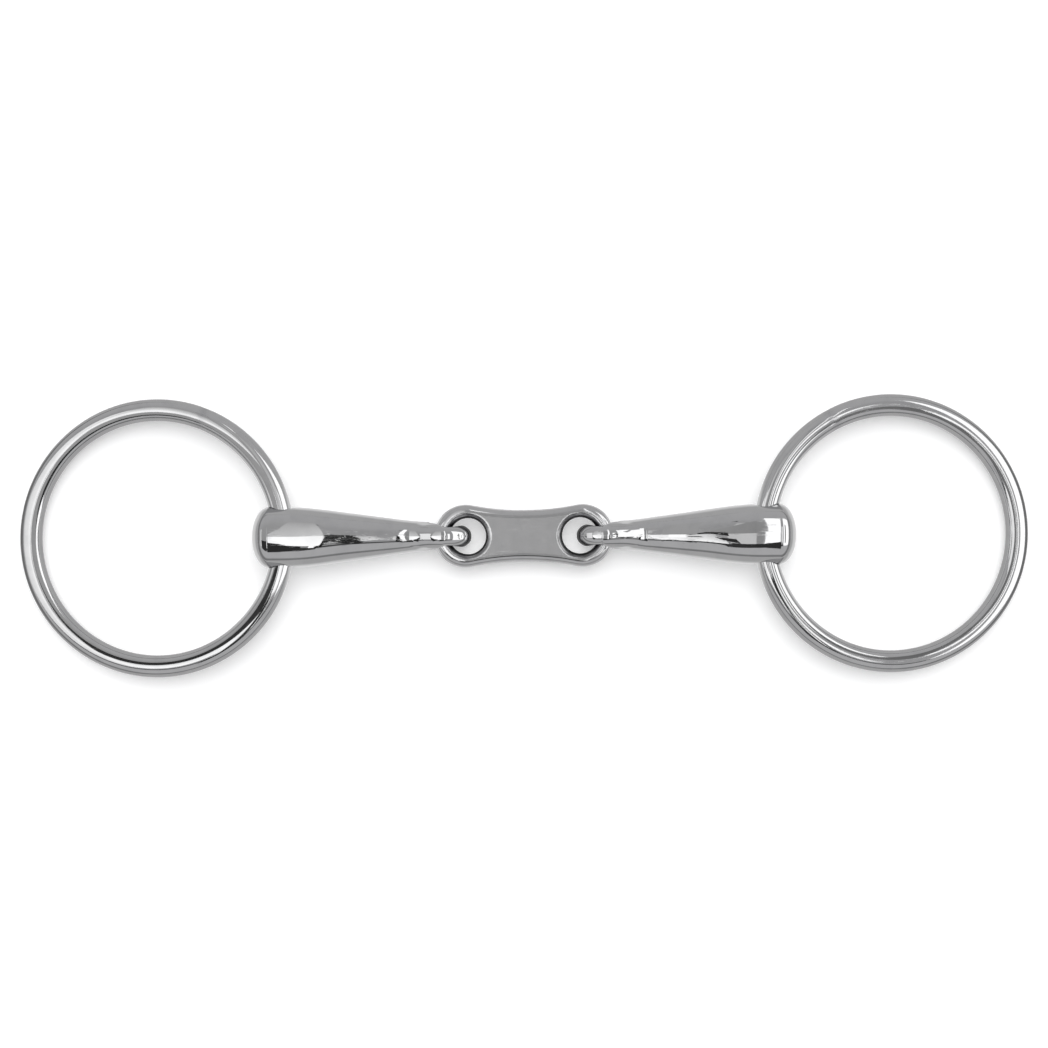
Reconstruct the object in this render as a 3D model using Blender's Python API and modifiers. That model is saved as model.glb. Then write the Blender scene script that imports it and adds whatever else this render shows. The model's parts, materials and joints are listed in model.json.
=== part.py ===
"""A loose-ring snaffle bit with a French link: two rings, two tapered cannons and one flat link.

Metres, +Z up. The bit lies at rest on the plane z = 0, with its mouthpiece along X and the middle of the
link over the origin. Each cannon is closed round the link's rim by an eye, folds about the upright axis of
the link's hole, and carries its ring in a bore across its butt end. A distance called "reach" is measured
along a cannon, outwards from the middle of the link.
"""

import math

import bmesh
import bpy

# Rings: round rod bent into a circle.
MOUTH_WIDTH = 0.127  # between the facing sides of the two rings, where they leave the butts
RING_RADIUS = 0.035  # of the rod's centre line
WIRE_RADIUS = 0.003

# Cannons.
BUTT_RADIUS = 0.0083
BUTT_END_REACH = 0.0740
BUTT_DOME_LENGTH = 0.0047
BORE_RADIUS = 0.0039
BORE_MOUTH_FILLET = 0.0006
TAPER_SLOPE = 0.1362  # growth of the half-width for each unit of reach
TAPER_REACH = 0.02725  # where the straight taper would meet the eye's half-width
TAPER_EASE = 0.0008  # how softly the taper's width joins the butt and the eye
EYE_REACH = 0.0223
EYE_HALF_LENGTH = 0.0080
EYE_HALF_HEIGHT = 0.0066
EYE_HALF_WIDTH = 0.0038
EYE_HOLE_RADIUS = 0.0034
EYE_HOLE_FILLET = 0.0022
EYE_EASE = 0.0025  # how softly the outside of the eye runs into the saddle
SADDLE_REACH = 0.0300
SADDLE_DEPTH = 0.00035
SADDLE_SPREAD = 0.0025

# Link.
LINK_HOLE_REACH = 0.0153
LINK_HOLE_RADIUS = 0.0049
LINK_LOBE_REACH = 0.0159
LINK_LOBE_RADIUS = 0.00855
LINK_WAIST_HALF_WIDTH = 0.00695
LINK_THICKNESS = 0.0042
LINK_EDGE_RADIUS = 0.0015
LINK_DROP = 0.0006  # how far the link hangs below the middle of the eyes it rests in

# Facets.
RING_SEGMENTS = 72
WIRE_SEGMENTS = 16
SECTION_POINTS = 28  # round each section of a cannon
TIP_STATIONS = 9  # sections along a cannon, from the eye's tip to the butt's end
EYE_STATIONS = 6
TAPER_STATIONS = 8
BUTT_STATIONS = 3
DOME_STATIONS = 7
CUTTER_STEPS = 32
FILLET_STEPS = 4
LOBE_POINTS = 18
WAIST_POINTS = 7
LINK_HOLE_POINTS = 24

# Worked out from the dimensions above.
SAGITTA = RING_RADIUS - math.sqrt(RING_RADIUS**2 - BUTT_RADIUS**2)
BORE_REACH = MOUTH_WIDTH / 2 + WIRE_RADIUS - SAGITTA / 2
RING_OFFSET = RING_RADIUS - SAGITTA / 2  # from the bore's axis to the ring's centre
TIP_REACH = EYE_REACH - EYE_HALF_LENGTH
DOME_REACH = BUTT_END_REACH - BUTT_DOME_LENGTH
SHOULDER_REACH = TAPER_REACH + (BUTT_RADIUS - EYE_HALF_WIDTH) / TAPER_SLOPE
CANNON_TILT = math.asin((BUTT_RADIUS - EYE_HALF_HEIGHT) / (SHOULDER_REACH - EYE_REACH))
BORE_HEIGHT = EYE_HALF_HEIGHT + (BORE_REACH - EYE_REACH) * math.sin(CANNON_TILT)
RING_DROOP = math.asin((BORE_HEIGHT - WIRE_RADIUS) / (RING_OFFSET + RING_RADIUS))
LINK_HEIGHT = EYE_HALF_HEIGHT - LINK_DROP

STEEL_COLOUR = (0.62, 0.62, 0.63, 1.0)
CANNON_ROUGHNESS = 0.12
RING_ROUGHNESS = 0.10
LINK_ROUGHNESS = 0.15


def clear_scene():
    for obj in list(bpy.data.objects):
        bpy.data.objects.remove(obj, do_unlink=True)


def new_collection(name):
    collection = bpy.data.collections.new(name)
    bpy.context.scene.collection.children.link(collection)
    return collection


def steel(name, roughness):
    material = bpy.data.materials.new(name)
    material.use_nodes = True
    shader = material.node_tree.nodes["Principled BSDF"]
    shader.inputs["Base Color"].default_value = STEEL_COLOUR
    shader.inputs["Metallic"].default_value = 1.0
    shader.inputs["Roughness"].default_value = roughness
    return material


def place(name, data, collection, parent=None, location=(0, 0, 0), rotation=(0, 0, 0)):
    obj = bpy.data.objects.new(name, data)
    collection.objects.link(obj)
    obj.parent = parent
    obj.location = location
    obj.rotation_euler = rotation
    return obj


def smooth_greater(a, b, ease):
    """The greater of two lengths, with the corner between them rounded over the distance ease."""
    overlap = max(ease - abs(a - b), 0) / ease
    return max(a, b) + overlap**2 * ease / 4


def smooth_lesser(a, b, ease):
    return -smooth_greater(-a, -b, ease)


def circle_half(offset, radius):
    """Half the width of a circle at this offset from its middle."""
    return math.sqrt(max(radius**2 - offset**2, 0))


def butt_dome(reach):
    """The share of the full section that is left at this reach: 1 up to the domed end, then an ellipse."""
    return circle_half(max(reach - DOME_REACH, 0), BUTT_DOME_LENGTH) / BUTT_DOME_LENGTH


def taper(reach):
    straight = EYE_HALF_WIDTH + TAPER_SLOPE * (reach - TAPER_REACH)
    narrow = smooth_greater(straight, EYE_HALF_WIDTH, TAPER_EASE)
    return smooth_lesser(narrow, BUTT_RADIUS, TAPER_EASE)


def half_width(reach):
    """Along Y: the eye's rounded tip, the taper, then the domed butt."""
    tip = circle_half(max(EYE_REACH - reach, 0), EYE_HALF_LENGTH) / EYE_HALF_LENGTH
    return taper(reach) * tip * butt_dome(reach)


def half_height(reach):
    """Along Z: the outside of the eye, the saddle behind it, the taper, then the domed butt."""
    eye = EYE_HALF_HEIGHT * circle_half(reach - EYE_REACH, EYE_HALF_LENGTH) / EYE_HALF_LENGTH
    if reach < EYE_REACH:
        return eye
    saddle = SADDLE_DEPTH * math.exp(-(((reach - SADDLE_REACH) / SADDLE_SPREAD) ** 2))
    return smooth_greater(eye, taper(reach) - saddle, EYE_EASE) * butt_dome(reach)


def stations():
    """The reaches of the cannon's sections, closer together where the outline turns."""
    tip = [
        TIP_REACH + EYE_HALF_LENGTH * (1 - math.cos(math.pi / 2 * i / TIP_STATIONS))
        for i in range(1, TIP_STATIONS + 1)
    ]
    eye = evenly(tip[-1], SADDLE_REACH, EYE_STATIONS)
    cannon = evenly(SADDLE_REACH, SHOULDER_REACH, TAPER_STATIONS)
    butt = evenly(SHOULDER_REACH, DOME_REACH, BUTT_STATIONS)
    dome = [
        DOME_REACH + BUTT_DOME_LENGTH * math.sin(math.pi / 2 * i / DOME_STATIONS)
        for i in range(1, DOME_STATIONS)
    ]
    return tip + eye + cannon + butt + dome


def evenly(start, end, count):
    return [start + (end - start) * i / count for i in range(1, count + 1)]


def cannon_section(reach):
    """An ellipse across the cannon."""
    turns = [math.tau * i / SECTION_POINTS for i in range(SECTION_POINTS)]
    width, height = half_width(reach), half_height(reach)
    return [(reach - EYE_REACH, width * math.cos(turn), height * math.sin(turn)) for turn in turns]


def cannon_mesh():
    """The cannon without its holes: a loft through the sections, closed by a point at each end."""
    mesh = bpy.data.meshes.new("cannon")
    bm = bmesh.new()
    loops = [[bm.verts.new(point) for point in cannon_section(reach)] for reach in stations()]
    for near, far in zip(loops, loops[1:]):
        for i in range(SECTION_POINTS):
            j = (i + 1) % SECTION_POINTS
            bm.faces.new((near[i], near[j], far[j], far[i]))
    tip = bm.verts.new((TIP_REACH - EYE_REACH, 0, 0))
    end = bm.verts.new((BUTT_END_REACH - EYE_REACH, 0, 0))
    for apex, loop in ((tip, loops[0]), (end, loops[-1])):
        for i in range(SECTION_POINTS):
            bm.faces.new((apex, loop[i], loop[(i + 1) % SECTION_POINTS]))
    bmesh.ops.recalc_face_normals(bm, faces=bm.faces)
    bm.to_mesh(mesh)
    bm.free()
    mesh.shade_smooth()
    return mesh


def hole_profile(radius, fillet, half_depth, overshoot):
    """Half of a hole's inside, top to bottom: straight in the middle, rounded out at both mouths."""
    upper = [(0, half_depth + overshoot), (radius + fillet, half_depth + overshoot)]
    for i in range(FILLET_STEPS + 1):
        turn = math.pi / 2 * i / FILLET_STEPS
        out = radius + fillet * (1 - math.sin(turn))
        upper.append((out, half_depth - fillet * (1 - math.cos(turn))))
    return upper + [(out, -height) for out, height in reversed(upper)]


def hole_cutter(name, collection, parent, location, profile):
    """The profile turned about an axis that lies along the parent's Y."""
    mesh = bpy.data.meshes.new(name)
    edges = [(i, i + 1) for i in range(len(profile) - 1)]
    mesh.from_pydata([(out, 0, height) for out, height in profile], edges, [])
    cutter = place(name, mesh, collection, parent, location, (math.pi / 2, 0, 0))
    screw = cutter.modifiers.new("Turn", "SCREW")
    screw.axis = "Z"
    screw.steps = CUTTER_STEPS
    screw.render_steps = CUTTER_STEPS
    screw.use_merge_vertices = True
    screw.merge_threshold = 0.00001
    cutter.hide_render = True
    cutter.display_type = "WIRE"
    return cutter


def cut(obj, cutter):
    boolean = obj.modifiers.new("Cut " + cutter.name, "BOOLEAN")
    boolean.operation = "DIFFERENCE"
    boolean.solver = "EXACT"
    boolean.object = cutter


def ring_mesh():
    """A torus whose origin is on the bore's axis, which lies inside the rod's curve."""
    bpy.ops.mesh.primitive_torus_add(
        major_segments=RING_SEGMENTS,
        minor_segments=WIRE_SEGMENTS,
        major_radius=RING_RADIUS,
        minor_radius=WIRE_RADIUS,
    )
    torus = bpy.context.object
    mesh = torus.data
    bpy.data.objects.remove(torus)
    mesh.name = "ring"
    for vertex in mesh.vertices:
        vertex.co.x += RING_OFFSET
    mesh.shade_smooth()
    return mesh


def arc(centre, radius, start, end, count):
    """Points along an arc from one angle to another, without the last."""
    return [
        (
            centre[0] + radius * math.cos(start + (end - start) * i / count),
            centre[1] + radius * math.sin(start + (end - start) * i / count),
        )
        for i in range(count)
    ]


def link_outline():
    """Two round lobes joined by two long hollow arcs that leave them without a corner."""
    gap = LINK_LOBE_RADIUS - LINK_WAIST_HALF_WIDTH
    waist_radius = (LINK_LOBE_REACH**2 - LINK_LOBE_RADIUS**2 + LINK_WAIST_HALF_WIDTH**2) / (2 * gap)
    waist_centre = LINK_WAIST_HALF_WIDTH + waist_radius
    lean = math.atan2(LINK_LOBE_REACH, waist_centre)
    up = math.pi / 2
    points = arc((LINK_LOBE_REACH, 0), LINK_LOBE_RADIUS, -up - lean, up + lean, LOBE_POINTS)
    points += arc((0, waist_centre), waist_radius, -up + lean, -up - lean, WAIST_POINTS)
    points += arc((-LINK_LOBE_REACH, 0), LINK_LOBE_RADIUS, up - lean, 3 * up + lean, LOBE_POINTS)
    points += arc((0, -waist_centre), waist_radius, up + lean, up - lean, WAIST_POINTS)
    return points


def add_outline(curve, points):
    spline = curve.splines.new("POLY")
    spline.points.add(len(points) - 1)
    for point, (x, y) in zip(spline.points, points):
        point.co = (x, y, 0, 1)
    spline.use_cyclic_u = True


def link_curve():
    """The plate: its outline and its two holes, with every edge rounded."""
    curve = bpy.data.curves.new("link", "CURVE")
    curve.dimensions = "2D"
    curve.fill_mode = "BOTH"
    curve.extrude = LINK_THICKNESS / 2 - LINK_EDGE_RADIUS
    curve.bevel_depth = LINK_EDGE_RADIUS
    curve.bevel_resolution = 2
    curve.offset = -LINK_EDGE_RADIUS
    add_outline(curve, link_outline())
    for side in (-1, 1):
        centre = (side * LINK_HOLE_REACH, 0)
        add_outline(curve, arc(centre, LINK_HOLE_RADIUS, math.tau, 0, LINK_HOLE_POINTS))
    return curve


def add_side(name, side, parts, cutters, meshes, materials):
    """One cannon and its ring. The left side is the right side turned half round about Z."""
    cannon_data, ring_data = meshes
    cannon_steel, ring_steel = materials
    turn = 0 if side > 0 else math.pi
    fold_place = (side * LINK_HOLE_REACH, 0, EYE_HALF_HEIGHT)
    fold = place("fold_axis_" + name, None, parts, None, fold_place, (0, 0, turn))
    eye_place = (EYE_REACH - LINK_HOLE_REACH, 0, 0)
    cannon = place("cannon_" + name, cannon_data, parts, fold, eye_place, (0, -CANNON_TILT, 0))
    cannon.data.materials.clear()
    cannon.data.materials.append(cannon_steel)
    eye_hole = hole_profile(EYE_HOLE_RADIUS, EYE_HOLE_FILLET, EYE_HALF_WIDTH, EYE_HALF_WIDTH)
    bore_hole = hole_profile(BORE_RADIUS, BORE_MOUTH_FILLET, BUTT_RADIUS, BUTT_RADIUS)
    bore_place = (BORE_REACH - EYE_REACH, 0, 0)
    cut(cannon, hole_cutter("eye_hole_" + name, cutters, cannon, (0, 0, 0), eye_hole))
    cut(cannon, hole_cutter("bore_" + name, cutters, cannon, bore_place, bore_hole))
    swivel = place("swivel_axis_" + name, None, parts, cannon, bore_place)
    ring = place("ring_" + name, ring_data, parts, swivel, rotation=(0, CANNON_TILT + RING_DROOP, 0))
    ring.data.materials.clear()
    ring.data.materials.append(ring_steel)


def main():
    clear_scene()
    parts = new_collection("snaffle_bit")
    cutters = new_collection("cutters")
    meshes = (cannon_mesh(), ring_mesh())
    materials = (steel("cannon_steel", CANNON_ROUGHNESS), steel("ring_steel", RING_ROUGHNESS))
    link = place("french_link", link_curve(), parts, location=(0, 0, LINK_HEIGHT))
    link.data.materials.append(steel("link_steel", LINK_ROUGHNESS))
    for name, side in (("left", -1), ("right", 1)):
        add_side(name, side, parts, cutters, meshes, materials)


main()
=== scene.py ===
"""Looks for the loose-ring snaffle bit: fine polished-steel meshes round the CAD frame, light and camera.

Metres, in the CAD model's own frame: +X along the mouthpiece, +Y across it, +Z up, floor at z = 0. Every
CAD solid is faceted, so each is replaced by a piece of the same shape with a fine, truly round surface. The
cannons and the link are surfaces where a field, roughly the distance to the surface, is zero.
"""

import json
import math

import bpy
import numpy as np
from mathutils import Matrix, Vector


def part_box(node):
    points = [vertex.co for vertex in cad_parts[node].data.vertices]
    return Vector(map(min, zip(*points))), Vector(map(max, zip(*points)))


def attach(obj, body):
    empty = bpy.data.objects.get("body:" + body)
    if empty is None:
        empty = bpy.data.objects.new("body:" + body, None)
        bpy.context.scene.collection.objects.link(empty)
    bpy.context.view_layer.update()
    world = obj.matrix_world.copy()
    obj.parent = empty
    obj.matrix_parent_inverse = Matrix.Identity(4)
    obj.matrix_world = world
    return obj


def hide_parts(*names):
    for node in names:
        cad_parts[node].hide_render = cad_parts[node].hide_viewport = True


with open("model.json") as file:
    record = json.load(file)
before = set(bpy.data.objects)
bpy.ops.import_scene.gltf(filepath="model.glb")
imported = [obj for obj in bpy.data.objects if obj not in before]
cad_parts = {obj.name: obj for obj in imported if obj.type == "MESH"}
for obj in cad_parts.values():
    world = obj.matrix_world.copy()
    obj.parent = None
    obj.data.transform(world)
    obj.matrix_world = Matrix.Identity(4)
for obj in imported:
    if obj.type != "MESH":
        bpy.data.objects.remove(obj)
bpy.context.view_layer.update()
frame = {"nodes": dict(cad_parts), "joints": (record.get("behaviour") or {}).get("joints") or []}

JOINT_PLACE = {joint["name"]: joint["pos_m"] for joint in frame["joints"]}
SIDES = (("left", -1), ("right", 1))

# The cannon's dimensions that its box and joints don't give. "Reach" runs along a cannon from the link's
# middle.
EYE_REACH = 0.0223
EYE_HEIGHT = 0.0066  # of the eye's middle above the floor
EYE_HALF_HEIGHT = 0.00648
EYE_HALF_LENGTH = 0.0080
EYE_HALF_WIDTH = 0.0038
EYE_HOLE_RADIUS = 0.0034
EYE_HOLE_EASE = 0.0029  # of the hole's mouths next to the eye's tip, where the link's rim curves away
EYE_HOLE_SHARP_EASE = 0.0006  # and next to the shank
EYE_HOLE_SHARP = (-0.001, 0.002)  # reaches from the eye's middle between which the one becomes the other
EYE_EASE = 0.0016  # far above and below the eye's middle, where it meets the shank
EYE_EASE_LEAST = 0.05  # share of it that is left at the eye's mid-height
EYE_POWER = 2.4  # fuller across than an ellipsoid
BUTT_RADIUS = 0.0083
BUTT_END_REACH = 0.0740
BUTT_DOME_LENGTH = 0.0047
BORE_RADIUS = 0.0037
BORE_EASE = 0.0003
BUTT_POWER = 2.3  # a little squarer in section than round
BUTT_SQUARING = (0.045, 0.060)  # reaches between which it becomes so
TAPER_SLOPE = 0.1362
TAPER_REACH = 0.02725
TAPER_EASE = 0.0008
# The flat ground by hand along the top and bottom of each shank: its half-height where the taper meets it,
# the growth of that for each unit of reach, and how softly the two meet.
SHANKS = {-1: (0.00456, 0.007, 0.0004), 1: (0.00463, -0.075, 0.00012)}
SHANK_REACH = 0.0330
CANNON_INSET = 0.00004  # keeps the polish waves within the CAD solid
CANNON_WAVE_LENGTH = 0.011
CANNON_WORN_DEPTH = 0.0008  # how far from the eye's hole and the bore the rubbing shows

# The link's.
LINK_HOLE_RADIUS = 0.0049
LINK_WAIST_HALF_WIDTH = 0.00695
LINK_OUTER_ROUND = 0.0022  # plan widths of the rounding
LINK_HOLE_ROUND = 0.0016
LINK_INSET = 0.00002
LINK_WAVE_LENGTH = 0.014
HOLE_SHADE_REACH = 0.00145  # of the painted dark shade, outwards from each hole
HOLE_SHADE_FADE = 0.00035

# The rings'.
WIRE_RADIUS = 0.0030
WIRE_INSET = 0.006  # shares of the wire's radius
WIRE_UNEVENNESS = 0.006
WELD_DRESSING = 0.014
WELD_HALF_WIDTH = 0.0011
WELD_TURNS = {-1: math.radians(-112), 1: math.radians(118)}
BEND_WAVES = range(3, 12)  # waves of unevenness round the ring
RING_STEPS = 540
WIRE_STEPS = 44

VOXEL = 0.00026
PROBE = 0.000004  # step of the field's differences
SETTLE_ROUNDS = 7
RELAX_ROUNDS = 4
LONGEST_MOVE = 0.0002
LEAST_SLOPE = 0.2  # squared
POLISH_WAVE = 0.000006  # height of each of the slow waves that hand polishing leaves
WAVE_COUNT = 7


# ---------------------------------------------------------------- fields


def smooth_greater(a, b, ease):
    overlap = np.maximum(ease - np.abs(a - b), 0) / ease
    return np.maximum(a, b) + overlap**2 * ease / 4


def smooth_lesser(a, b, ease):
    return -smooth_greater(-a, -b, ease)


def polish_waves(seed, length):
    """A slow unevenness of the surface: the sum of a few plane waves about this long."""
    draw = np.random.default_rng(seed)
    heading = draw.normal(size=(WAVE_COUNT, 3))
    heading /= np.linalg.norm(heading, axis=1)[:, None]
    wave_number = heading * (math.tau / (length * draw.uniform(0.7, 1.5, WAVE_COUNT)))[:, None]
    phase = draw.uniform(0, math.tau, WAVE_COUNT)
    return lambda p: POLISH_WAVE * np.sin(p @ wave_number.T + phase).sum(axis=1)


def taper(reach):
    """The cannon's half-width: even at the eye, then a straight taper up to the butt."""
    straight = EYE_HALF_WIDTH + TAPER_SLOPE * (reach - TAPER_REACH)
    return smooth_lesser(smooth_greater(straight, EYE_HALF_WIDTH, TAPER_EASE), BUTT_RADIUS, TAPER_EASE)


def smooth_share(value, low, high):
    share = np.clip((value - low) / (high - low), 0, 1)
    return share * share * (3 - 2 * share)


def cannon_field(p, shank, bore_reach, waves):
    """The cannon in its own frame: x from the eye's middle towards the butt, y across, z up."""
    reach, y, z = p[:, 0] + EYE_REACH, p[:, 1], p[:, 2]
    width = taper(reach)
    shank_half_height, growth, shank_ease = shank
    height = smooth_greater(width, shank_half_height + growth * (reach - SHANK_REACH), shank_ease)
    dome = np.maximum(reach - (BUTT_END_REACH - BUTT_DOME_LENGTH), 0) / BUTT_DOME_LENGTH
    power = 2 + (BUTT_POWER - 2) * smooth_share(reach, *BUTT_SQUARING)
    section = (np.abs(y / width) ** power + np.abs(z / height) ** power) ** (1 / power)
    body = (np.hypot(section, dome) - 1) * width
    body = np.maximum(body, EYE_REACH - reach)
    round_eye = np.hypot((reach - EYE_REACH) / EYE_HALF_LENGTH, z / EYE_HALF_HEIGHT)
    eye = (round_eye**EYE_POWER + np.abs(y / EYE_HALF_WIDTH) ** EYE_POWER) ** (1 / EYE_POWER)
    eye = (eye - 1) * EYE_HALF_WIDTH
    ease = EYE_EASE * np.clip(np.abs(z) / EYE_HALF_WIDTH, EYE_EASE_LEAST, 1)
    solid = smooth_lesser(eye, body, ease)
    sharper = smooth_share(reach - EYE_REACH, *EYE_HOLE_SHARP)
    mouth = EYE_HOLE_EASE + (EYE_HOLE_SHARP_EASE - EYE_HOLE_EASE) * sharper
    solid = smooth_greater(solid, EYE_HOLE_RADIUS - np.hypot(reach - EYE_REACH, z), mouth)
    solid = smooth_greater(solid, BORE_RADIUS - np.hypot(reach - bore_reach, z), BORE_EASE)
    return solid + CANNON_INSET - waves(p)


def link_field(p, hole_reach, lobe_reach, lobe_radius, half_thickness, waves):
    """The link about its own middle: a plate of constant thickness whose edges are rounded all the way."""
    x, y, z = np.abs(p[:, 0]), np.abs(p[:, 1]), p[:, 2]
    gap = lobe_radius - LINK_WAIST_HALF_WIDTH
    waist_radius = (lobe_reach**2 - lobe_radius**2 + LINK_WAIST_HALF_WIDTH**2) / (2 * gap)
    waist_centre = LINK_WAIST_HALF_WIDTH + waist_radius
    in_lobe = lobe_radius - np.hypot(x - lobe_reach, y)
    in_waist = np.hypot(x, y - waist_centre) - waist_radius
    inside = np.where(x / lobe_reach + y / waist_centre > 1, in_lobe, in_waist)
    from_hole = np.hypot(x - hole_reach, y) - LINK_HOLE_RADIUS
    outer = np.maximum(1 - inside / LINK_OUTER_ROUND, 0)
    inner = np.maximum(1 - from_hole / LINK_HOLE_ROUND, 0)
    full = np.sqrt(outer**2 + inner**2 + (z / half_thickness) ** 2)
    return (full - 1) * half_thickness + LINK_INSET - waves(p)


# ---------------------------------------------------------------- meshes


def field_gradient(field, p):
    gradient = np.empty_like(p)
    for axis in range(3):
        step = np.zeros(3)
        step[axis] = PROBE
        gradient[:, axis] = (field(p + step) - field(p - step)) / (2 * PROBE)
    return gradient


def settle(field, p):
    """Moves points along the field's slope onto the surface."""
    for _ in range(SETTLE_ROUNDS):
        gradient = field_gradient(field, p)
        slope = np.maximum((gradient**2).sum(axis=1), LEAST_SLOPE)
        step = field(p)[:, None] * gradient / slope[:, None]
        length = np.linalg.norm(step, axis=1)[:, None]
        p = p - step * np.minimum(1, LONGEST_MOVE / np.maximum(length, 1e-12))
    return p


def relax(p, edges, normals):
    """Evens out the points' spacing by a move within the surface."""
    total = np.zeros_like(p)
    count = np.zeros(len(p))
    for a, b in ((0, 1), (1, 0)):
        np.add.at(total, edges[:, a], p[edges[:, b]])
        np.add.at(count, edges[:, a], 1)
    move = 0.5 * (total / count[:, None] - p)
    return p - normals * (move * normals).sum(axis=1)[:, None] + move


def unit(vectors):
    return vectors / np.linalg.norm(vectors, axis=1)[:, None]


def surface_piece(name, node, field, origin, axes):
    """The CAD node's solid, remeshed finely and settled onto the field's surface, with exact normals.

    axes holds the field's own x, y and z directions as rows.
    """
    rough = bpy.data.objects.new(name, frame["nodes"][node].data.copy())
    bpy.context.scene.collection.objects.link(rough)
    remesh = rough.modifiers.new("Fine", "REMESH")
    remesh.mode = "VOXEL"
    remesh.voxel_size = VOXEL
    graph = bpy.context.evaluated_depsgraph_get()
    mesh = bpy.data.meshes.new_from_object(rough.evaluated_get(graph))
    rough.modifiers.clear()
    rough.data = mesh
    mesh.name = name
    mesh.materials.clear()
    points = np.empty(len(mesh.vertices) * 3)
    mesh.vertices.foreach_get("co", points)
    edges = np.empty(len(mesh.edges) * 2, int)
    mesh.edges.foreach_get("vertices", edges)
    edges = edges.reshape(-1, 2)
    local = (points.reshape(-1, 3) - origin) @ axes.T
    local = settle(field, local)
    for _ in range(RELAX_ROUNDS):
        local = settle(field, relax(local, edges, unit(field_gradient(field, local))))
    normals = unit(field_gradient(field, local))
    mesh.vertices.foreach_set("co", (local @ axes + origin).ravel())
    mesh.update()
    mesh.shade_smooth()
    mesh.normals_split_custom_set_from_vertices(normals @ axes)
    return rough, local


def store(mesh, name, values):
    """Keeps one number a point for a material to read."""
    attribute = mesh.attributes.new(name, "FLOAT", "POINT")
    attribute.data.foreach_set("value", values.astype(np.float32))


def turned(side):
    """The side's own x, y and z directions: the left side is the right side turned half round about Z."""
    return np.diag([side, side, 1.0])


def cannon(name, side):
    bore = np.array(JOINT_PLACE[name + "_ring_swivel"])
    origin = np.array([side * EYE_REACH, 0, EYE_HEIGHT])
    run, rise = side * (bore[0] - origin[0]), bore[2] - origin[2]
    tilt = math.atan2(rise, run)
    tilted = np.array(
        [[math.cos(tilt), 0, math.sin(tilt)], [0, 1, 0], [-math.sin(tilt), 0, math.cos(tilt)]]
    )
    bore_reach = EYE_REACH + math.hypot(run, rise)
    waves = polish_waves(11 + side, CANNON_WAVE_LENGTH)

    def field(p):
        return cannon_field(p, SHANKS[side], bore_reach, waves)

    piece, local = surface_piece(
        "polished_cannon_" + name, "cannon_" + name, field, origin, tilted @ turned(side)
    )
    in_eye = np.hypot(local[:, 0], local[:, 2])
    in_bore = np.hypot(local[:, 0] + EYE_REACH - bore_reach, local[:, 2])
    marked = np.minimum(in_eye - EYE_HOLE_RADIUS, in_bore - BORE_RADIUS)
    store(piece.data, "wear_and_painted_shade", np.clip(1 - marked / CANNON_WORN_DEPTH, 0, 1))
    return piece


def link():
    low, high = (np.array(corner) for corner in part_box("french_link"))
    hole_reach = JOINT_PLACE["right_cannon_fold"][0]
    lobe_radius = (high[1] - low[1]) / 2
    lobe_reach = high[0] - lobe_radius
    half_thickness = (high[2] - low[2]) / 2
    waves = polish_waves(5, LINK_WAVE_LENGTH)

    def field(p):
        return link_field(p, hole_reach, lobe_reach, lobe_radius, half_thickness, waves)

    piece, local = surface_piece("polished_link", "french_link", field, (low + high) / 2, np.eye(3))
    from_hole = np.hypot(np.abs(local[:, 0]) - hole_reach, local[:, 1]) - LINK_HOLE_RADIUS
    # Painted shade: the link is darkened to near-black in a band round each hole.
    store(piece.data, "wear_and_painted_shade", np.clip((HOLE_SHADE_REACH - from_hole) / HOLE_SHADE_FADE, 0, 1))
    return piece


def ring(name, side):
    """A round rod bent into a circle, a little uneven, with a dressed weld."""
    low, high = (np.array(corner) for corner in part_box("ring_" + name))
    centre = (low + high) / 2
    radius = (high[1] - low[1]) / 2 - WIRE_RADIUS
    inwards = centre - np.array(JOINT_PLACE[name + "_ring_swivel"])
    inwards /= np.linalg.norm(inwards)
    across = np.array([0.0, side, 0.0])
    up = np.cross(inwards, across)
    draw = np.random.default_rng(30 + side)
    bend = [(n, draw.uniform(0, math.tau), draw.uniform(0.3, 1)) for n in BEND_WAVES]
    turn = np.arange(RING_STEPS) * math.tau / RING_STEPS
    around = np.arange(WIRE_STEPS) * math.tau / WIRE_STEPS
    uneven = sum(a * np.sin(n * turn + phase) for n, phase, a in bend) / len(bend)
    from_weld = (turn - WELD_TURNS[side] % math.tau) * radius
    weld = np.exp(-((from_weld / WELD_HALF_WIDTH) ** 2))
    rod = WIRE_RADIUS * (1 - WIRE_INSET - WIRE_UNEVENNESS * uneven - WELD_DRESSING * weld)
    outwards = np.outer(np.cos(turn), inwards) + np.outer(np.sin(turn), across)
    section = rod[:, None, None] * (
        np.cos(around)[None, :, None] * outwards[:, None, :] + np.sin(around)[None, :, None] * up
    )
    points = (centre + radius * outwards[:, None, :] + section).reshape(-1, 3)
    faces = []
    for i in range(RING_STEPS):
        for j in range(WIRE_STEPS):
            a, b = i * WIRE_STEPS, (i + 1) % RING_STEPS * WIRE_STEPS
            k = (j + 1) % WIRE_STEPS
            faces.append((a + j, b + j, b + k, a + k))
    mesh = bpy.data.meshes.new("polished_ring_" + name)
    mesh.from_pydata(points.tolist(), [], faces)
    mesh.update()
    mesh.shade_smooth()
    piece = bpy.data.objects.new(mesh.name, mesh)
    bpy.context.scene.collection.objects.link(piece)
    store(mesh, "wear_and_painted_shade", np.repeat(weld, WIRE_STEPS))
    return piece


# ---------------------------------------------------------------- materials

# Colours of the steel.
BRIGHT = (0.60, 0.60, 0.605, 1)
DULL = (0.52, 0.522, 0.53, 1)
RUBBED = (0.50, 0.50, 0.51, 1)
# Painted shade: the near-black band round the link's holes.
PAINTED_HOLE_SHADE = (0.12, 0.12, 0.125, 1)
FLOOR_COLOURS = ((0.84, 0.84, 0.84, 1), (0.82, 0.822, 0.824, 1))
FLOOR_GLOW = 0.25  # keeps the shadows on it faint

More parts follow.
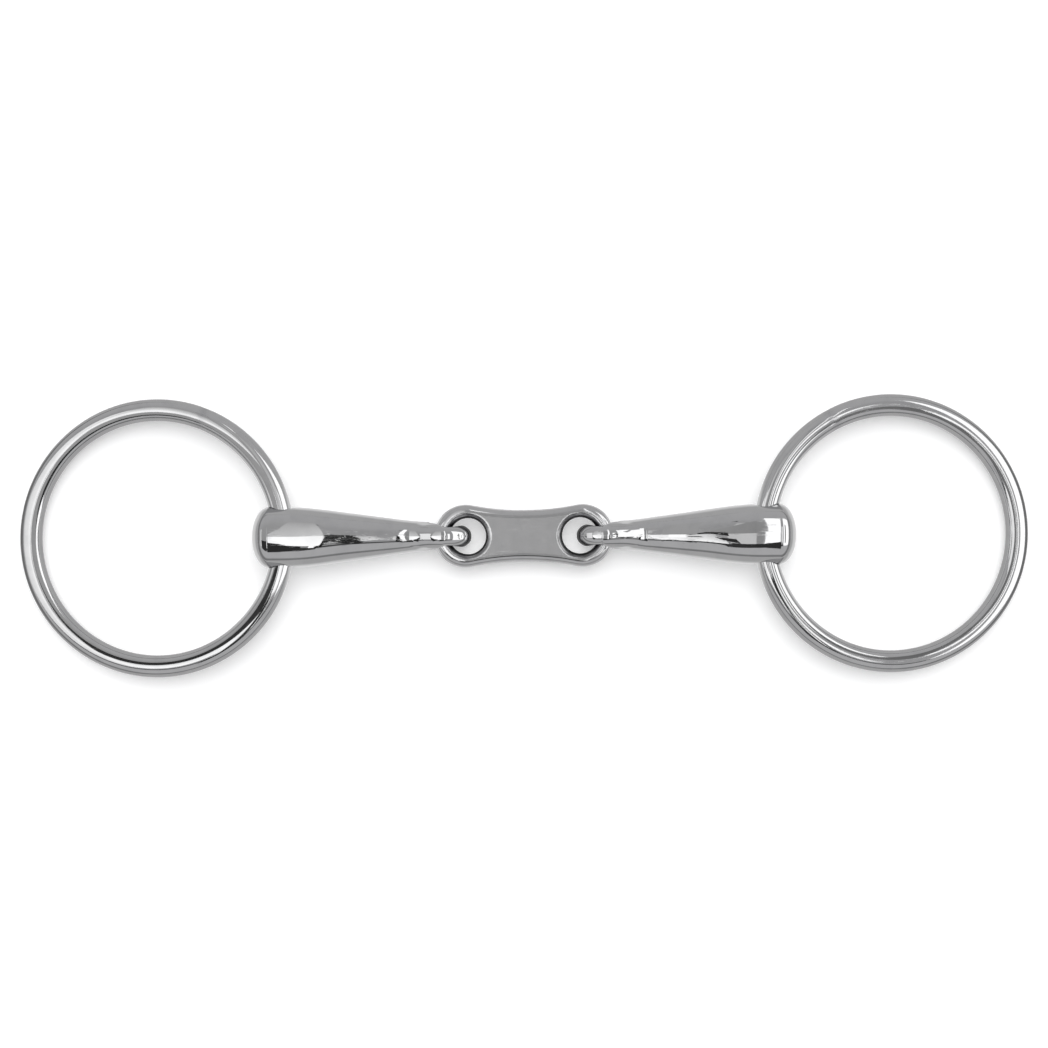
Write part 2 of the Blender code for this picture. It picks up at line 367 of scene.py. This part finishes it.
# How often the marks on the steel repeat, in each metre.
SMUDGE_SCALE = 70.0
BLOTCH_SCALE = 260.0
FLOOR_MOTTLE_SCALE = 6.0
GRAIN_SCALE = (90.0, 4200.0, 4200.0)
HAIRLINES = (  # turn and scale of each set
    ((0, 0, 0.5), (40.0, 2600.0, 2600.0)),
    ((0.4, 0, -0.7), (60.0, 3100.0, 3100.0)),
)
GRAIN_DEPTH = 0.0000012
HAIRLINE_DEPTH = 0.000005
# What the marks add to the roughness.
GRAIN_ROUGHNESS = 0.02
HAIRLINE_ROUGHNESS = 0.07
RUBBED_ROUGHNESS = 0.12


def add_node(tree, kind, settings=None, **inputs):
    node = tree.nodes.new(kind)
    for key, value in (settings or {}).items():
        setattr(node, key, value)
    for key, value in inputs.items():
        socket = node.inputs[key.replace("_", " ")]
        if isinstance(value, bpy.types.NodeSocket):
            tree.links.new(value, socket)
        else:
            socket.default_value = value
    return node


def math_node(tree, operation, *values):
    node = add_node(tree, "ShaderNodeMath", {"operation": operation})
    for socket, value in zip(node.inputs, values):
        if isinstance(value, bpy.types.NodeSocket):
            tree.links.new(value, socket)
        else:
            socket.default_value = value
    return node.outputs[0]


def spread(tree, value, low, high, to_low, to_high):
    """The value, scaled from one range to another and held inside it."""
    node = add_node(tree, "ShaderNodeMapRange", {"interpolation_type": "SMOOTHSTEP"})
    tree.links.new(value, node.inputs["Value"])
    for key, number in zip(("From Min", "From Max", "To Min", "To Max"), (low, high, to_low, to_high)):
        node.inputs[key].default_value = number
    return node.outputs["Result"]


def noise(tree, place, scale, detail=2.0):
    return add_node(
        tree, "ShaderNodeTexNoise", None, Vector=place, Scale=scale, Detail=detail
    ).outputs["Fac"]


def stretched(tree, place, turn, scale):
    mapping = add_node(tree, "ShaderNodeMapping", None, Vector=place, Rotation=turn, Scale=scale)
    return mapping.outputs["Vector"]


def steel(name, marked, smooth, hazy, grain_turn):
    """Polished stainless steel: faint grain, hairline scratches, fingermarks, and duller where parts rub.

    marked is the colour where parts rub, and for the link the painted shade round its holes; smooth and
    hazy are the roughness between and under the fingermarks.
    """
    material = bpy.data.materials.new(name)
    material.use_nodes = True
    tree = material.node_tree
    shader = tree.nodes["Principled BSDF"]
    shader.inputs["Metallic"].default_value = 1.0
    place = add_node(tree, "ShaderNodeTexCoord").outputs["Object"]
    wear_and_painted_shade = add_node(tree, "ShaderNodeAttribute", {"attribute_name": "wear_and_painted_shade"}).outputs["Fac"]

    smudge = noise(tree, place, SMUDGE_SCALE, 4.0)
    blotch = noise(tree, place, BLOTCH_SCALE, 3.0)
    grain = noise(tree, stretched(tree, place, grain_turn, GRAIN_SCALE), 1.0)
    hairlines = []
    for turn, scale in HAIRLINES:
        line = noise(tree, stretched(tree, place, turn, scale), 1.0, 1.0)
        hairlines.append(spread(tree, line, 0.66, 0.72, 0.0, 1.0))
    scratches = math_node(tree, "MAXIMUM", *hairlines)

    haze = spread(tree, smudge, 0.42, 0.72, smooth, hazy)
    grainy = math_node(tree, "MULTIPLY_ADD", grain, GRAIN_ROUGHNESS, haze)
    scratched = math_node(tree, "MULTIPLY_ADD", scratches, HAIRLINE_ROUGHNESS, grainy)
    # Where parts rub, and on the link the painted shade round its holes.
    wear_and_shade_here = math_node(tree, "MULTIPLY", wear_and_painted_shade, spread(tree, blotch, 0.3, 0.7, 0.5, 1.0))
    rough = math_node(tree, "MULTIPLY_ADD", wear_and_shade_here, RUBBED_ROUGHNESS, scratched)
    tree.links.new(rough, shader.inputs["Roughness"])

    colour = BRIGHT
    for share, other in ((spread(tree, blotch, 0.35, 0.8, 0.0, 0.5), DULL), (wear_and_shade_here, marked)):
        mix = add_node(tree, "ShaderNodeMix", {"data_type": "RGBA"})
        tree.links.new(share, mix.inputs["Factor"])
        if isinstance(colour, bpy.types.NodeSocket):
            tree.links.new(colour, mix.inputs["A"])
        else:
            mix.inputs["A"].default_value = colour
        mix.inputs["B"].default_value = other
        colour = mix.outputs["Result"]
    tree.links.new(colour, shader.inputs["Base Color"])

    fine = add_node(tree, "ShaderNodeBump", None, Height=grain, Strength=0.25, Distance=GRAIN_DEPTH)
    cut = add_node(
        tree,
        "ShaderNodeBump",
        {"invert": True},
        Height=scratches,
        Strength=0.3,
        Distance=HAIRLINE_DEPTH,
        Normal=fine.outputs["Normal"],
    )
    tree.links.new(cut.outputs["Normal"], shader.inputs["Normal"])
    return material


def floor_material():
    material = bpy.data.materials.new("pale_floor")
    material.use_nodes = True
    tree = material.node_tree
    shader = tree.nodes["Principled BSDF"]
    place = add_node(tree, "ShaderNodeTexCoord").outputs["Object"]
    mottle = noise(tree, place, FLOOR_MOTTLE_SCALE)
    colour = add_node(tree, "ShaderNodeMix", {"data_type": "RGBA"})
    tree.links.new(mottle, colour.inputs["Factor"])
    colour.inputs["A"].default_value, colour.inputs["B"].default_value = FLOOR_COLOURS
    tree.links.new(colour.outputs["Result"], shader.inputs["Base Color"])
    shader.inputs["Roughness"].default_value = 0.9
    shader.inputs["Specular IOR Level"].default_value = 0.0
    shader.inputs["Emission Color"].default_value = (1, 1, 1, 1)
    shader.inputs["Emission Strength"].default_value = FLOOR_GLOW
    return material


# ---------------------------------------------------------------- studio

# What stands round the bit, by the angle from overhead towards +Y, in degrees, and its brightness.
ROOM = (
    (-180, 0.45),
    (-95, 0.40),
    (-90, 0.28),
    (-81, 0.28),
    (-76, 0.60),
    (-38, 0.60),
    (-36, 0.08),
    (-31, 0.08),
    (-29, 0.48),
    (30, 0.46),
    (50, 0.53),
    (100, 0.56),
    (180, 0.56),
)
CAMERA_CLEARANCE = 0.02
LENS = 74.0
SENSOR = 36.0
VIEW_WIDTH = 0.2853  # what the camera takes in, across, at the height of the mouthpiece
VIEW_HEIGHT = 0.008
VIEW_SHIFT = 0.0032  # of the camera towards +Y
VIEW_ROLL = math.radians(-0.4)
CAMERA_HEIGHT = VIEW_HEIGHT + VIEW_WIDTH * LENS / SENSOR

SUN_ELEVATION = math.radians(69)
SUN_WIDTH = math.radians(55)
SUN_STRENGTH = 2.1
BACKGROUND = (0.95, 0.95, 0.95, 1)
FLOOR_HALF_WIDTH = 6.0
CARD_STEP = 0.0001  # between a card and the next one below it


def even(brightness, *corners):
    """A card of one brightness, by the x and y of its corners."""
    return [(x, y, brightness) for x, y in corners]


def oblong(west, east, south, north, brightness, north_brightness=None):
    north_brightness = north_brightness or brightness
    return [
        (west, south, brightness),
        (east, south, brightness),
        (east, north, north_brightness),
        (west, north, north_brightness),
    ]


# Cards that only the polished steel sees, as in a light tent. Each corner is x, y and the brightness there.
# The high ones are level with the camera; the lower ones serve one part each. A card hides the ones listed
# before it.
HIGH_CARDS = {
    "window_west": [(-0.092, -0.26, 1.7), (-0.045, -0.29, 1.7), (-0.045, 0.02, 1.5), (-0.092, 0.09, 1.6)],
    "fall_off": [(-0.092, 0.09, 1.1), (-0.045, 0.02, 1.0), (-0.045, 0.42, 0.60), (-0.092, 0.45, 0.60)],
    "middle": [(-0.045, -0.33, 0.38), (0.062, -0.37, 0.38), (0.062, 0.45, 0.42), (-0.045, 0.45, 0.42)],
    "behind_lens": oblong(-0.036, 0.036, -0.030, 0.022, 0.54),
    "window_east": even(1.8, (0.062, -0.38), (0.113, -0.40), (0.113, 0.05), (0.062, 0.05)),
    "east_strip": oblong(0.072, 0.113, 0.05, 0.75, 1.8),
    "black_wedge": even(0.03, (0.102, -0.44), (0.150, -0.45), (0.122, 0.10), (0.098, -0.01)),
    "wedge_lens": even(0.30, (0.115, -0.11), (0.1225, -0.10), (0.1225, -0.08), (0.115, -0.09)),
    "leaf": [(0.135, -0.25, 1.2), (0.158, -0.18, 1.2), (0.145, 0.04, 0.8), (0.1225, 0.03, 0.9)],
    "black_edge": even(0.05, (-0.155, -0.60), (0.125, -0.52), (0.125, -0.41), (-0.155, -0.26)),
    "east_line": even(0.10, (0.112, 0.50), (0.140, 0.52), (0.140, 0.58), (0.112, 0.56)),
    "west_line": even(0.10, (-0.130, 0.56), (-0.100, 0.54), (-0.100, 0.60), (-0.130, 0.61)),
    "east_slot": oblong(0.19, 0.28, -0.25, 0.20, 1.7),
    "east_window": even(1.8, (0.45, -0.42), (6.0, -2.0), (6.0, 3.0), (0.45, 0.75)),
    "west_leaf": [(-0.158, -0.36, 1.7), (-0.112, -0.36, 1.3), (-0.112, 0.02, 0.9), (-0.158, 0.0, 1.7)],
    "west_window": oblong(-0.36, -0.16, -0.26, 0.05, 1.7, 1.4),
    "far_fall_off": [(-0.36, 0.05, 1.2), (-0.16, 0.05, 1.1), (-0.16, 0.42, 0.5), (-0.36, 0.42, 0.5)],
    "far_west": [(-3.0, -0.70, 0.8), (-0.36, -0.30, 1.3), (-0.36, 0.25, 1.3), (-3.0, 0.70, 0.8)],
}
LEFT_CARDS = {
    "low_window": [(-0.071, 0.001, 1.7), (-0.064, -0.033, 1.7), (-0.03, -0.046, 1.7), (-0.03, 0.004, 1.5)],
    "low_fall_off": [(-0.071, 0.001, 0.85), (-0.03, 0.004, 0.95), (-0.03, 0.11, 0.53), (-0.06, 0.11, 0.53)],
    "low_dark": even(0.04, (-0.078, -0.004), (-0.078, -0.100), (-0.064, -0.080), (-0.062, -0.036)),
    "low_edge": even(0.04, (-0.064, -0.033), (-0.064, -0.080), (-0.050, -0.062), (-0.050, -0.040)),
    "low_grey": [(-0.078, -0.003, 0.45), (-0.0712, 0.001, 0.45), (-0.06, 0.11, 0.53), (-0.078, 0.11, 0.53)],
}
LEFT_END_CARDS = {
    "end_dark": oblong(-0.125, -0.0735, -0.026, -0.004, 0.04),
    "end_grey": oblong(-0.125, -0.0735, -0.004, 0.022, 0.45, 0.50),
}
RIGHT_CARDS = {
    "dark_flag": [(0.037, 0.0075, 0.44), (0.0465, 0.001, 0.4), (0.0605, 0.001, 0.38), (0.0605, 0.033, 0.4)],
    "pale_flag": even(0.83, (0.0465, -0.018), (0.0605, -0.021), (0.0605, 0.001), (0.0465, 0.001)),
    "wisp_start": even(0.04, (0.0335, 0.0010), (0.0345, -0.0005), (0.0385, 0.0030), (0.0385, 0.0075)),
    "wisp_end": even(0.04, (0.0385, 0.0075), (0.0385, 0.0030), (0.0470, -0.0025), (0.0465, 0.0030)),
    "low_wisp": even(0.04, (0.0415, -0.0055), (0.0440, -0.0130), (0.0520, -0.0200), (0.0500, -0.0080)),
    "small_wisp": even(0.06, (0.0338, -0.0045), (0.0340, -0.0070), (0.0378, -0.0080), (0.0375, -0.0050)),
    "corner_line": even(0.04, (0.053, -0.020), (0.053, -0.0235), (0.064, -0.031), (0.064, -0.0190)),
    "corner": even(0.04, (0.064, -0.019), (0.064, -0.031), (0.073, -0.042), (0.073, -0.011)),
    "ring_side": oblong(0.104, 0.120, -0.022, 0.022, 0.22),
}
RIGHT_EYE_CARDS = {"eye_window": oblong(0.0338, 0.0390, -0.005, 0.020, 1.7)}
RIGHT_SHADE_CARDS = {"eye_window_shade": oblong(0.0350, 0.0450, 0.0003, 0.016, 0.50, 0.52)}
CARD_LAYERS = (
    (HIGH_CARDS, CAMERA_HEIGHT + CAMERA_CLEARANCE),
    (LEFT_CARDS, 0.10),
    (LEFT_END_CARDS, 0.04),
    (RIGHT_CARDS, 0.05),
    (RIGHT_EYE_CARDS, 0.030),
    (RIGHT_SHADE_CARDS, 0.020),
)


def room():
    """A grey room with a few dark edges in it, and a white background past the floor."""
    world = bpy.data.worlds.new("studio")
    bpy.context.scene.world = world
    world.use_nodes = True
    tree = world.node_tree
    background = tree.nodes["Background"]
    heading = add_node(tree, "ShaderNodeTexCoord").outputs["Generated"]
    parts = add_node(tree, "ShaderNodeSeparateXYZ", None, Vector=heading)
    angle = math_node(tree, "ARCTAN2", parts.outputs["Y"], parts.outputs["Z"])
    share = math_node(tree, "MULTIPLY_ADD", angle, 1 / math.tau, 0.5)
    ramp = add_node(tree, "ShaderNodeValToRGB", None, Fac=share)
    stops = ramp.color_ramp.elements
    for index, (degrees, brightness) in enumerate(ROOM):
        place = degrees / 360 + 0.5
        stop = stops[index] if index < 2 else stops.new(place)
        stop.position = place
        stop.color = (brightness, brightness, brightness * 1.01, 1)
    seen = add_node(tree, "ShaderNodeMix", {"data_type": "RGBA"})
    from_camera = add_node(tree, "ShaderNodeLightPath").outputs["Is Camera Ray"]
    tree.links.new(from_camera, seen.inputs["Factor"])
    tree.links.new(ramp.outputs["Color"], seen.inputs["A"])
    seen.inputs["B"].default_value = BACKGROUND
    tree.links.new(seen.outputs["Result"], background.inputs["Color"])


def only_mirrored(obj):
    """Leaves a piece of the studio to be seen in the steel, and nowhere else."""
    obj.visible_camera = False
    obj.visible_diffuse = False
    obj.visible_transmission = False
    obj.visible_volume_scatter = False
    obj.visible_shadow = False


def card_material():
    material = bpy.data.materials.new("card")
    material.use_nodes = True
    tree = material.node_tree
    tree.nodes.remove(tree.nodes["Principled BSDF"])
    glow = add_node(tree, "ShaderNodeAttribute", {"attribute_name": "glow"}).outputs["Fac"]
    emission = add_node(tree, "ShaderNodeEmission", None, Strength=glow)
    tree.links.new(emission.outputs["Emission"], tree.nodes["Material Output"].inputs["Surface"])
    return material


def cards(layer, height, material):
    for index, (name, corners) in enumerate(layer.items()):
        mesh = bpy.data.meshes.new("card_" + name)
        level = height - index * CARD_STEP
        mesh.from_pydata([(x, y, level) for x, y, _ in corners], [], [range(len(corners))])
        glow = mesh.attributes.new("glow", "FLOAT", "POINT")
        glow.data.foreach_set("value", [brightness for _, _, brightness in corners])
        mesh.materials.append(material)
        obj = bpy.data.objects.new(mesh.name, mesh)
        bpy.context.scene.collection.objects.link(obj)
        only_mirrored(obj)


def floor_light():
    """A broad soft light for the floor only, which the steel doesn't mirror."""
    light = bpy.data.lights.new("floor_light", "SUN")
    light.angle = SUN_WIDTH
    light.energy = SUN_STRENGTH
    lamp = bpy.data.objects.new("floor_light", light)
    lamp.rotation_euler = (math.pi / 2 - SUN_ELEVATION, 0, math.pi)
    lamp.visible_glossy = False
    bpy.context.scene.collection.objects.link(lamp)


def lights():
    material = card_material()
    for layer, height in CARD_LAYERS:
        cards(layer, height, material)
    floor_light()


def plane(name, half, height, material):
    mesh = bpy.data.meshes.new(name)
    corners = [(-half, -half, height), (half, -half, height), (half, half, height), (-half, half, height)]
    mesh.from_pydata(corners, [], [(0, 1, 2, 3)])
    mesh.materials.append(material)
    obj = bpy.data.objects.new(name, mesh)
    bpy.context.scene.collection.objects.link(obj)
    return obj


def mirrored_floor_material():
    """What the steel sees of the floor: pale by the mouthpiece, greyer further off, dark under the link."""
    material = bpy.data.materials.new("mirrored_floor")
    material.use_nodes = True
    tree = material.node_tree
    tree.nodes.remove(tree.nodes["Principled BSDF"])
    place = add_node(tree, "ShaderNodeTexCoord").outputs["Object"]
    parts = add_node(tree, "ShaderNodeSeparateXYZ", None, Vector=place)
    along = math_node(tree, "ABSOLUTE", parts.outputs["X"])
    beside = math_node(tree, "ABSOLUTE", parts.outputs["Y"])
    past_butt = math_node(tree, "SUBTRACT", along, BUTT_END_REACH + 0.001)
    off = math_node(tree, "MAXIMUM", beside, past_butt)
    # The floor's light and shade as the steel sees them are painted here as glow: pale near the mouthpiece,
    # greyer further off.
    near = spread(tree, off, 0.012, 0.024, 0.88, 0.55)
    far = spread(tree, along, 0.136, 0.142, 1.0, 0.42)
    # Painted shadow: the glow drops to near-dark under the link.
    below_link = math_node(tree, "MAXIMUM", math_node(tree, "SUBTRACT", along, 0.0150), beside)
    shaded = spread(tree, below_link, 0.007, 0.014, 0.14, 1.0)
    glow = math_node(tree, "MULTIPLY", math_node(tree, "MULTIPLY", near, far), shaded)
    emission = add_node(tree, "ShaderNodeEmission", None, Strength=glow)
    tree.links.new(emission.outputs["Emission"], tree.nodes["Material Output"].inputs["Surface"])
    return material


def floor():
    plane("floor", FLOOR_HALF_WIDTH, 0.0, floor_material()).visible_glossy = False
    only_mirrored(plane("mirrored_floor", FLOOR_HALF_WIDTH, 0.00001, mirrored_floor_material()))


def camera():
    data = bpy.data.cameras.new("camera")
    data.lens = LENS
    data.sensor_width = SENSOR
    obj = bpy.data.objects.new("camera", data)
    obj.location = (0, VIEW_SHIFT, CAMERA_HEIGHT)
    obj.rotation_euler = (0, 0, VIEW_ROLL)
    bpy.context.scene.collection.objects.link(obj)
    bpy.context.scene.camera = obj


def finish_piece(piece, node, body, material):
    piece.data.materials.append(material)
    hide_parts(node)
    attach(piece, body)


def build():
    cannon_steel = steel("cannon_steel", RUBBED, 0.02, 0.045, (0, 0, 0))
    ring_steel = steel("ring_steel", RUBBED, 0.05, 0.11, (0, 0, 0.3))
    link_steel = steel("link_steel", PAINTED_HOLE_SHADE, 0.08, 0.15, (0, 0, 0.1))
    finish_piece(link(), "french_link", "link", link_steel)
    for name, side in SIDES:
        finish_piece(cannon(name, side), "cannon_" + name, name + "_cannon", cannon_steel)
        finish_piece(ring(name, side), "ring_" + name, name + "_ring", ring_steel)


bpy.context.scene.view_settings.view_transform = "Standard"
camera()
room()
lights()
floor()
build()
